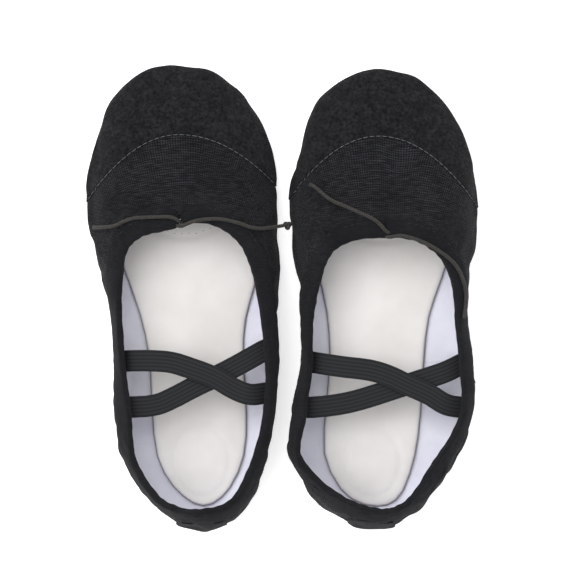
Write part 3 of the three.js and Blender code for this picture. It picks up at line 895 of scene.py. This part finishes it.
def outline_face(node):
    """The top outline of a CAD plate, as one rounded face."""
    mesh = merged_copy(node)
    mesh.normal_update()
    sides = [face for face in mesh.faces if face.normal.z < 0.9]
    bmesh.ops.delete(mesh, geom=sides, context="FACES")
    bmesh.ops.dissolve_limit(
        mesh, angle_limit=math.radians(1), verts=mesh.verts,
        edges=[edge for edge in mesh.edges if not edge.is_boundary],
    )
    piece = new_object("outline", mesh)
    subdivide(piece, 2)
    mesh = bmesh.new()
    mesh.from_mesh(piece.data)
    bpy.data.objects.remove(piece)
    inner = [edge for edge in mesh.edges if not edge.is_boundary]
    bmesh.ops.dissolve_edges(mesh, edges=inner, use_verts=True)
    return mesh


def cut_into_squares(mesh, size):
    """Cuts a flat face by planes across it and along it."""
    for axis in range(2):
        low = min(v.co[axis] for v in mesh.verts)
        high = max(v.co[axis] for v in mesh.verts)
        normal = Vector((1, 0, 0)) if axis == 0 else Vector((0, 1, 0))
        for step in range(1, math.ceil((high - low) / size)):
            spot = Vector()
            spot[axis] = low + step * size
            bmesh.ops.bisect_plane(
                mesh, geom=mesh.verts[:] + mesh.edges[:] + mesh.faces[:], plane_co=spot, plane_no=normal,
                dist=0.02 * MM,
            )


def plate(name, node, square, round_edge, relief):
    """A plate with a rounded upper edge. relief gives how much a spot rises or sinks. Each point keeps
    its distance from the rim, which the insole's finish uses for painted shade at its edge."""
    mesh = outline_face(node)
    cut_into_squares(mesh, square)
    rim = tree_of([vert.co.copy() for vert in mesh.verts if vert.is_boundary])
    low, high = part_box(node)
    from_rim = mesh.verts.layers.float.new("from_rim")
    for vert in mesh.verts:
        vert[from_rim] = rim.find(vert.co)[2]
        inwards = min(vert[from_rim] / round_edge, 1)
        drop = EDGE_DROP * round_edge * (1 - math.sqrt(1 - (1 - inwards) ** 2))
        vert.co.z = high.z - drop + relief(vert.co) * smoothstep(0, 1, inwards)
    edges = [edge for edge in mesh.edges if edge.is_boundary]
    grown = bmesh.ops.extrude_edge_only(mesh, edges=edges)["geom"]
    for vert in {item for item in grown if isinstance(item, bmesh.types.BMVert)}:
        vert.co.z = low.z
    bmesh.ops.holes_fill(mesh, edges=[edge for edge in mesh.edges if edge.is_boundary])
    bmesh.ops.recalc_face_normals(mesh, faces=mesh.faces)
    return new_object(name, mesh)


# %% The padded insole
INSOLE_SQUARE = 1.3 * MM
SEAM_DEPTH = 0.7 * MM
SEAM_WIDTH = 1.1 * MM
SEAM_INSET = Vector((1.4, 1.4, 0)) * MM
PAD_EDGE = 2.4 * MM
PAD_UNEVEN = 0.28 * MM
# Inside a seam the pad is pressed flat a little.
PRESSED = 0.25 * MM


def oval(node):
    """The middle and the half-widths of a patch, whose outline is close to an oval."""
    low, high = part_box(node)
    return middle_of(node), (high - low) / 2


def oval_distance(place, centre, radii):
    """How far a place lies outside an oval, roughly, in metres."""
    across, along = (place.x - centre.x) / radii.x, (place.y - centre.y) / radii.y
    return (math.hypot(across, along) - 1) * (radii.x + radii.y) / 2


def insole_relief(side):
    heel = oval(f"{side}_heel_patch")
    ball = oval(f"{side}_forefoot_patch")

    def relief(place):
        rise = PAD_UNEVEN * creases(place, 22 * MM, seed=51)
        for centre, radii in (heel, ball):
            outside = oval_distance(place, centre, radii - SEAM_INSET)
            rise -= SEAM_DEPTH * math.exp(-((outside / SEAM_WIDTH) ** 2))
            rise -= PRESSED * (1 - smoothstep(-2 * MM, 0, outside))
        return rise

    return relief


for side in SIDES:
    name = f"{side}_insole"
    piece = plate(f"{name}_pad", name, INSOLE_SQUARE, PAD_EDGE, insole_relief(side))
    finish_piece(piece, name)
    print(name, "points:", len(piece.data.vertices))

# %% Sole panel and suede patches
SOLE_SQUARE = 3 * MM
for side in SIDES:
    for part, slot, edge in (
        ("sole_panel", "canvas", 0.6 * MM),
        ("forefoot_patch", "suede", 1.0 * MM),
        ("heel_patch", "suede", 1.0 * MM),
    ):
        name = f"{side}_{part}"
        piece = plate(f"{name}_cut", name, SOLE_SQUARE, edge, lambda place: 0.0)
        finish_piece(piece, name)
print("pieces with the soles:", len(pieces))

# %% [markdown]
# ## Materials
# Every finish here is a textile or a hide, so they differ in thread and fibre rather than in gloss.
# Threads are drawn on the flat cloth map, whose unit is a metre of cloth, so one number in millimetres
# sets their spacing. One helper adds a node with its settings and links.

# %% Colour and node helpers
def linear(code):
    """An sRGB hex colour as the linear colour that Blender uses."""
    parts = [int(code[i:i + 2], 16) / 255 for i in (1, 3, 5)]
    return [c / 12.92 if c <= 0.04045 else ((c + 0.055) / 1.055) ** 2.4 for c in parts] + [1.0]


def add(tree, kind, inputs=None, **settings):
    """Adds a node with its settings. An input is a number, a colour or a socket to link from."""
    node = tree.nodes.new("ShaderNode" + kind)
    for key, value in settings.items():
        setattr(node, key, value)
    for key, value in (inputs or {}).items():
        if isinstance(value, bpy.types.NodeSocket):
            tree.links.new(value, node.inputs[key])
        else:
            node.inputs[key].default_value = value
    return node


def new_material(name, roughness, sheen=0.0, specular=0.25):
    material = bpy.data.materials.new(name)
    material.use_nodes = True
    tree = material.node_tree
    shader = tree.nodes["Principled BSDF"]
    shader.inputs["Roughness"].default_value = roughness
    shader.inputs["Sheen Weight"].default_value = sheen
    shader.inputs["Sheen Roughness"].default_value = 0.6
    shader.inputs["Specular IOR Level"].default_value = specular
    return material, tree, shader


def finish_shader(tree, shader, colour, height, depth, strength=1.0):
    bump = add(tree, "Bump", {"Height": height, "Distance": depth, "Strength": strength})
    tree.links.new(colour, shader.inputs["Base Color"])
    tree.links.new(bump.outputs["Normal"], shader.inputs["Normal"])


# %% Woven cloth
THREAD_WANDER = 1.0


def wave_scale(spacing):
    """The scale of a wave texture whose bands lie this far apart. At scale 1 they lie 2 pi / 20 apart."""
    return 2 * math.pi / 20 / spacing


def weave(tree, spacing):
    """Height of a plain weave on the cloth map: each thread goes over one and under the next."""
    place = add(tree, "TexCoord").outputs["UV"]
    shift = add(tree, "TexNoise", {"Vector": place, "Scale": 160.0, "Detail": 2.0})
    offset = add(tree, "VectorMath", {0: shift.outputs["Color"], 1: (0.5, 0.5, 0.5)}, operation="SUBTRACT")
    wander = {0: offset.outputs[0], "Scale": THREAD_WANDER * spacing}
    small = add(tree, "VectorMath", wander, operation="SCALE")
    threads = add(tree, "VectorMath", {0: place, 1: small.outputs[0]}, operation="ADD").outputs[0]
    warp, weft = (
        add(tree, "TexWave", {"Vector": threads, "Scale": wave_scale(spacing)}, bands_direction=direction)
        for direction in "XY"
    )
    over = add(tree, "TexChecker", {"Vector": threads, "Scale": 1 / spacing})
    height = add(tree, "Mix", {0: over.outputs["Fac"], 2: warp.outputs["Fac"], 3: weft.outputs["Fac"]})
    return height.outputs[0]


def mottle(tree, size, detail=4.0):
    """Uneven dye or wear, in soft patches about size across, on the piece's own place."""
    place = add(tree, "TexCoord").outputs["Object"]
    return add(tree, "TexNoise", {"Vector": place, "Scale": 1 / size, "Detail": detail}).outputs["Fac"]


def shade(tree, value, low, high, dark, light):
    """A colour between dark and light as a value goes from low to high."""
    share = add(tree, "MapRange", {"Value": value, "From Min": low, "From Max": high})
    mix = add(tree, "Mix", {0: share.outputs[0], 6: linear(dark), 7: linear(light)}, data_type="RGBA")
    return mix.outputs[2]


def multiplied(tree, a, b):
    mix = add(tree, "Mix", {0: 1.0, 6: a, 7: b}, data_type="RGBA", blend_type="MULTIPLY")
    return mix.outputs[2]


def slubs(tree, length, width, strength):
    """Thick places in the weft, which show as short pale streaks across the shoe."""
    place = add(tree, "TexCoord").outputs["Object"]
    along = add(tree, "Mapping", {"Vector": place, "Scale": (1 / length, 1 / width, 1 / width)})
    streaks = add(tree, "TexNoise", {"Vector": along.outputs[0], "Scale": 1.0, "Detail": 3.0})
    return shade(tree, streaks.outputs["Fac"], 0.35, 0.72, strength, "#ffffff")


def woven_material(name, spacing, dark, light, depth, patch_low, slub="#ffffff"):
    """Woven cloth: dark between its threads, which is painted shade, and lighter on the raised threads; with
    uneven dye and with slubs.
    """
    material, tree, shader = new_material(name, 0.95, 0.03, 0.12)
    height = weave(tree, spacing)
    # Painted shade: the colour follows the weave's height, dark in the low gaps between threads and light on
    # top of them.
    threads = shade(tree, height, 0.1, 0.95, dark, light)
    patches = shade(tree, mottle(tree, 18 * MM), 0.3, 0.7, patch_low, "#ffffff")
    streaked = multiplied(tree, threads, slubs(tree, 4.5 * MM, 0.9 * MM, slub))
    finish_shader(tree, shader, multiplied(tree, streaked, patches), height, depth)
    return material


# %% Canvas, tape and lining
# Cotton canvas of thick threads, piece-dyed black: matt, with a faint grid. Its real threads are about
# 0.5 mm apart, and are drawn nearly twice as coarse so that they show.
canvas = woven_material("cotton_canvas", 0.95 * MM, "#0d0e10", "#3a3b3f", 0.2 * MM, "#c4c4c6", "#8c8c8e")
# Cotton tape, a finer and tighter weave than canvas, so it looks a little smoother and bluer.
tape = woven_material("cotton_tape", 0.7 * MM, "#0e0f11", "#2a2b2f", 0.1 * MM, "#cccccf", "#c4c4c6")
# Bleached cotton lining with a bluish brightener in it.
lining_cloth = woven_material("bleached_cotton", 0.6 * MM, "#d2d2dc", "#e8e8f1", 0.05 * MM, "#f0f0f4")


# %% Brushed cotton and suede
def fibre_material(name, dark, light, fibre, depth, patch, sheen):
    """Brushed or napped surfaces: short fibres with no thread pattern."""
    material, tree, shader = new_material(name, 0.97, sheen, 0.1)
    place = add(tree, "TexCoord").outputs["Object"]
    fine = add(tree, "TexNoise", {"Vector": place, "Scale": 1 / fibre, "Detail": 4.0, "Roughness": 0.7})
    broad = mottle(tree, patch)
    colour = shade(tree, fine.outputs["Fac"], 0.3, 0.75, dark, light)
    patches = shade(tree, broad, 0.3, 0.7, "#b9b9bb", "#ffffff")
    finish_shader(tree, shader, multiplied(tree, colour, patches), fine.outputs["Fac"], depth)
    return material


toe_cloth = fibre_material("brushed_cotton", "#050506", "#2d2d30", 1.7 * MM, 0.35 * MM, 5 * MM, 0.02)
suede = fibre_material("suede_split", "#151413", "#2e2c2a", 0.7 * MM, 0.2 * MM, 9 * MM, 0.1)


# %% Insole cover
# Painted shade in the crease between insole and lining: the cover is greyed within this distance of its rim.
RIM_SHADE_WIDTH = 1.1 * MM


def insole_material():
    """Off-white cloth glued on foam: almost smooth, warm, a little soiled where the foot turns, and with
    painted shade in the crease at its edge."""
    material, tree, shader = new_material("insole_cloth", 0.75, 0.05, 0.3)
    place = add(tree, "TexCoord").outputs["Object"]
    grain = add(tree, "TexNoise", {"Vector": place, "Scale": 1 / (0.8 * MM), "Detail": 3.0})
    worn = shade(tree, mottle(tree, 26 * MM, 3.0), 0.35, 0.7, "#d1cecb", "#dddad8")
    from_rim = add(tree, "Attribute", attribute_name="from_rim").outputs["Fac"]
    # Painted shade: grey at the rim, fading to the cover's own colour a little way in.
    edge = shade(tree, from_rim, 0.0, RIM_SHADE_WIDTH, "#77737a", "#ffffff")
    finish_shader(tree, shader, multiplied(tree, worn, edge), grain.outputs["Fac"], 0.05 * MM, 0.6)
    return material


# %% Elastic, cord and thread
def elastic_material():
    """Rubber threads covered in polyester: ribs along the band, fine crosswise weft, slight shine."""
    material, tree, shader = new_material("ribbed_elastic_weave", 0.75, 0.02, 0.2)
    place = add(tree, "TexCoord").outputs["UV"]
    weft_bands = {"Vector": place, "Scale": wave_scale(0.8 * MM), "Distortion": 0.6}
    rib_bands = {"Vector": place, "Scale": wave_scale(BAND_WIDTH / BAND_RIBS)}
    weft = add(tree, "TexWave", weft_bands, bands_direction="Y")
    ribs = add(tree, "TexWave", rib_bands, bands_direction="X")
    colour = shade(tree, ribs.outputs["Fac"], 0.0, 1.0, "#222427", "#141517")
    finish_shader(tree, shader, colour, weft.outputs["Fac"], 0.07 * MM, 0.8)
    return material


def cord_material():
    """Elastic cord in a braided cover: fine slanting threads, brown-grey where the rubber shows."""
    material, tree, shader = new_material("braided_cord", 0.7, 0.05, 0.2)
    place = add(tree, "TexCoord").outputs["Object"]
    braid = add(tree, "TexNoise", {"Vector": place, "Scale": 1 / (0.6 * MM), "Detail": 3.0})
    colour = shade(tree, braid.outputs["Fac"], 0.3, 0.7, "#1c1b19", "#3b3835")
    finish_shader(tree, shader, colour, braid.outputs["Fac"], 0.1 * MM)
    return material


def thread_material(name, dark, colour):
    """Polyester sewing thread: smooth and a little shiny."""
    material, tree, shader = new_material(name, 0.6, 0.0, 0.2)
    place = add(tree, "TexCoord").outputs["Object"]
    twist = add(tree, "TexNoise", {"Vector": place, "Scale": 1 / (0.4 * MM)})
    colours = shade(tree, twist.outputs["Fac"], 0.2, 0.8, dark, colour)
    finish_shader(tree, shader, colours, twist.outputs["Fac"], 0.03 * MM)
    return material


insole_cover = insole_material()
elastic = elastic_material()
cord_cover = cord_material()
# A painted highlight: grey thread laid end to end along the toe cap's edge, where it stands for the light on
# that edge.
highlight_thread = thread_material("highlight_thread", "#303134", "#6b6c70")
black_thread = thread_material("black_thread", "#08080a", "#2c2d30")
dark_marks = thread_material("dark_thread_ends", "#6a6466", "#b5afae")
pale_thread = thread_material("pale_thread", "#cfcbc8", "#e6e2df")
print("finishes:", ", ".join(material.name for material in bpy.data.materials))

# %% [markdown]
# Each piece gets one finish, chosen by what a maker would cut it from.

# %% Dress the pieces
FINISHES = {
    "vamp": canvas, "quarter_right": canvas, "quarter_left": canvas, "sole_panel": canvas,
    "vamp_lining": lining_cloth, "heel_lining": lining_cloth, "toe_cap": toe_cloth, "back_stay": tape,
    "binding": tape, "elastic_under": elastic, "elastic_over": elastic, "insole": insole_cover,
    "forefoot_patch": suede, "heel_patch": suede,
}


def dress(piece, material):
    piece.data.materials.clear()
    piece.data.materials.append(material)


for name, piece in pieces.items():
    dress(piece, FINISHES[name.split("_", 1)[1]])
for piece in cord_pieces:
    dress(piece, cord_cover)
for side in SIDES:
    dress(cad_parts[f"{side}_drawstring"], cord_cover)

# %% [markdown]
# ## Stitches
# A row of stitches is a short thread repeated along a line on the cloth. The line is the edge of a piece
# moved inwards, and each stitch is laid on the finished surface below it.

# %% The line of a seam
UNSEWN_THROAT = 9 * MM


def chain(edges):
    """The points of an open or closed run of edges, in order."""
    links = {}
    for a, b in edges:
        links.setdefault(a, []).append(b)
        links.setdefault(b, []).append(a)
    runs, left = [], set(links)
    while left:
        ends = [v for v in left if len(links[v]) == 1]
        start = ends[0] if ends else next(iter(left))
        run = [start]
        left.discard(start)
        while True:
            following = [v for v in links[run[-1]] if v in left]
            if not following:
                break
            run.append(following[0])
            left.discard(following[0])
        runs.append(run)
    return sorted(runs, key=len, reverse=True)


def is_sewn(place, side):
    """The binding is left open round the throat."""
    return place.y <= THROAT_FRONT or abs(place.x - THROAT_X[side]) >= UNSEWN_THROAT


def binding_edge(side):
    """The points along the outer of the binding's two edges."""
    mesh = sheet_of([f"{side}_binding"], facing=1, above=BINDING_ABOVE)
    rim = [edge for edge in mesh.edges if edge.is_boundary]
    sewn = [edge for edge in rim if all(is_sewn(vert.co, side) for vert in edge.verts)]
    runs = chain(sorted(tuple(tuple(vert.co) for vert in edge.verts) for edge in sewn))
    mesh.free()
    centre = middle_of(f"{side}_binding")
    lines = [[Vector(place) for place in run] for run in runs[:2]]
    return max(lines, key=lambda line: sum((place.xy - centre.xy).length for place in line) / len(line))


# %% Lay a row of stitches on it
# A stitch stands this share of its radius above the cloth, and is this flat.
STITCH_LIFT = 0.35
STITCH_FLATNESS = 0.8


def evenly(points, spacing):
    """Places at equal distances along a line of points."""
    places = np.array(points)
    lengths = np.r_[0, np.cumsum(np.linalg.norm(np.diff(places, axis=0), axis=1))]
    wanted = np.arange(spacing / 2, lengths[-1], spacing)
    return [Vector([np.interp(w, lengths, places[:, k]) for k in range(3)]) for w in wanted]


def stitch_row(name, line, under, spacing, stitch, radius, material, centre=None, margin=0):
    """Stitches along a line, laid on the piece under them. With a centre, the line is first moved towards
    it by a margin."""
    spots = evenly(line, spacing)
    surface = surface_of(under)
    mesh = bmesh.new()
    for index, spot in enumerate(spots):
        before, after = spots[max(index - 1, 0)], spots[min(index + 1, len(spots) - 1)]
        tangent = (after - before).normalized()
        if centre is not None:
            towards = centre - spot
            spot = spot + (towards - tangent * towards.dot(tangent)).normalized() * margin
        place, normal, _, _ = surface.find_nearest(spot)
        tangent = (tangent - normal * tangent.dot(normal)).normalized()
        turn = Matrix((tangent, normal.cross(tangent), normal)).transposed().to_4x4()
        shape = Matrix.Translation(place + normal * radius * STITCH_LIFT) @ turn
        pull = 1 + 0.25 * creases(place, 4 * MM, seed=71)
        size = Matrix.Diagonal((stitch / 2, radius * pull, radius * pull * STITCH_FLATNESS, 1))
        bmesh.ops.create_uvsphere(mesh, u_segments=6, v_segments=5, radius=1, matrix=shape @ size)
    piece = new_object(name, mesh)
    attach(piece, f"{name.split('_')[0]}_slipper")
    dress(piece, material)
    print(name, "has", len(spots), "stitches")


# %% A painted highlight along the cap's edge, and the binding's stitches
# How far inside the cap's edge its painted highlight lies.
CAP_HIGHLIGHT_INSET = 0.45 * MM
SEAM_LOWEST = 6 * MM
DOWN = Vector((0, 0, -1))


def cap_line(side):
    """Points on the cap's cloth along its arched edge, from one side of the shoe to the other."""
    surface = surface_of(pieces[f"{side}_toe_cap"])
    low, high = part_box(f"{side}_toe_cap")
    line = []
    for x in np.arange(low.x, high.x, 1.0 * MM):
        hit = surface.ray_cast(Vector((x, cap_edge_y(side, x) + CAP_HIGHLIGHT_INSET, 0.1)), DOWN)[0]
        if hit and hit.z > SEAM_LOWEST:
            line.append(hit)
    return line


for side in SIDES:
    # The cap's row is a painted highlight: grey thread laid end to end, each as long as the spacing, so that
    # it reads as one pale line on the edge.
    stitch_row(
        f"{side}_cap_stitches", cap_line(side), pieces[f"{side}_toe_cap"], spacing=3.1 * MM,
        stitch=3.1 * MM, radius=0.2 * MM, material=highlight_thread,
    )
    stitch_row(
        f"{side}_binding_stitches", binding_edge(side), pieces[f"{side}_binding"],
        spacing=3.2 * MM, stitch=2.4 * MM, radius=0.2 * MM, material=black_thread,
        centre=middle_of(f"{side}_binding"), margin=1.1 * MM,
    )

# %% [markdown]
# ## Stitches that come through the insole
# The suede patches are sewn on from below, and here and there a stitch shows on the insole: faintly
# round the heel oval, and as small dark marks at the rear end of the front patch.

# %% Marks on the insole
MARKS_INSET = Vector((2.4, 2.4, 0)) * MM


def oval_line(centre, radii, start, end):
    """An oval's points from one angle to another, in degrees from its right-hand side."""
    angles = np.radians(np.arange(start, end, 3))
    return [centre + Vector((radii.x * math.cos(a), radii.y * math.sin(a), 10 * MM)) for a in angles]


for side in SIDES:
    for part, start, end, thread in (
        ("forefoot_patch", 225, 315, dark_marks),
        ("heel_patch", 0, 360, pale_thread),
    ):
        centre, radii = oval(f"{side}_{part}")
        stitch_row(
            f"{side}_{part}_stitches", oval_line(centre, radii - MARKS_INSET, start, end),
            pieces[f"{side}_insole"], spacing=3.6 * MM, stitch=1.2 * MM, radius=0.16 * MM, material=thread,
        )

# %% [markdown]
# ## Floor and light
# A white table lit from below and a broad soft light from the upper left, as in a light tent. The table
# glows a little, which washes out the shadows on it, and the surroundings give half of the light, so the
# shaded sides of black cloth still show.

# %% Floor, light and surroundings
FLOOR_SIZE = 6.0
KEY_POWER = 40.0
KEY_PLACE = Vector((-0.9, 0.6, 2.0))
KEY_SIZE = 2.0
SKY = 0.95
TABLE_GLOW = 0.55

bpy.context.scene.view_settings.view_transform = "Standard"

floor_mesh = bmesh.new()
bmesh.ops.create_grid(floor_mesh, x_segments=2, y_segments=2, size=FLOOR_SIZE / 2)
floor = new_object("floor", floor_mesh)
floor_material, _, floor_shader = new_material("white_floor", 0.9, 0.0, 0.1)
floor_shader.inputs["Base Color"].default_value = linear("#f8f8f8")
floor_shader.inputs["Emission Color"].default_value = linear("#ffffff")
floor_shader.inputs["Emission Strength"].default_value = TABLE_GLOW
dress(floor, floor_material)

key_data = bpy.data.lights.new("key", "AREA")
key_data.energy = KEY_POWER
key_data.size = KEY_SIZE
key = bpy.data.objects.new("key", key_data)
key.location = KEY_PLACE
key.rotation_euler = (-KEY_PLACE).to_track_quat("-Z", "Y").to_euler()
bpy.context.scene.collection.objects.link(key)

world = bpy.data.worlds.new("surroundings")
world.use_nodes = True
world.node_tree.nodes["Background"].inputs["Color"].default_value = (1.0, 1.0, 1.0, 1.0)
world.node_tree.nodes["Background"].inputs["Strength"].default_value = SKY
bpy.context.scene.world = world
print("light in watts:", KEY_POWER, "and sky:", SKY)
